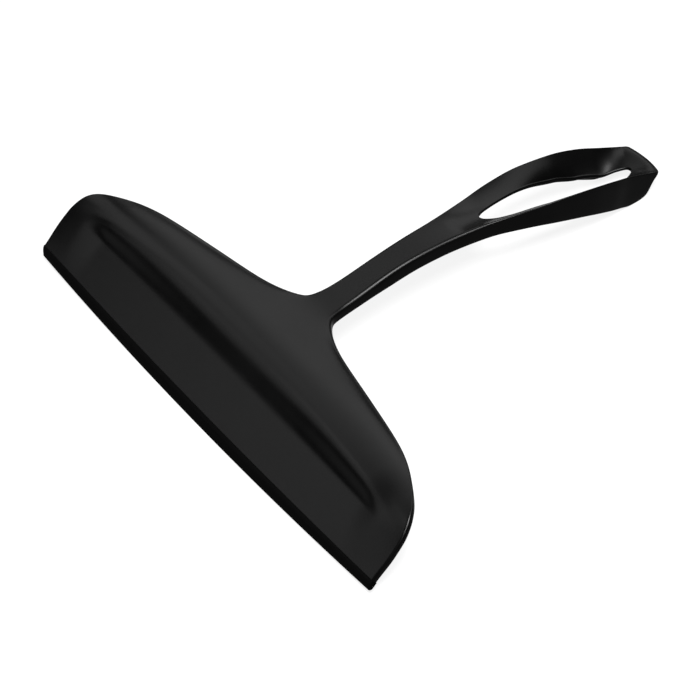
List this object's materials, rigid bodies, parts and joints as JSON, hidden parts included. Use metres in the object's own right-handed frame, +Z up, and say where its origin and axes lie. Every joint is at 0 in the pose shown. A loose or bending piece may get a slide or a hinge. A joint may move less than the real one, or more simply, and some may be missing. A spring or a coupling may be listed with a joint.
{
  "type": "hand squeegee",
  "caption": "Slim one-hand squeegee: a wide shallow head with a soft lip along its edge, on an arched handle that ends in a slotted loop grip.",
  "frame": {"origin": "centre of the overall outline, on the surface that the tool lies on, front face up", "axes": "+X along the blade, +Y from the blade to the grip, +Z up"},
  "size_m": [0.2502, 0.2094, 0.0267],
  "materials": {
    "satin_plastic": "satin black",
    "soft_rubber": "matt black"
  },
  "bodies": {
    "root": {"body": "satin_plastic", "lip": "soft_rubber"}
  },
  "joints": []
}
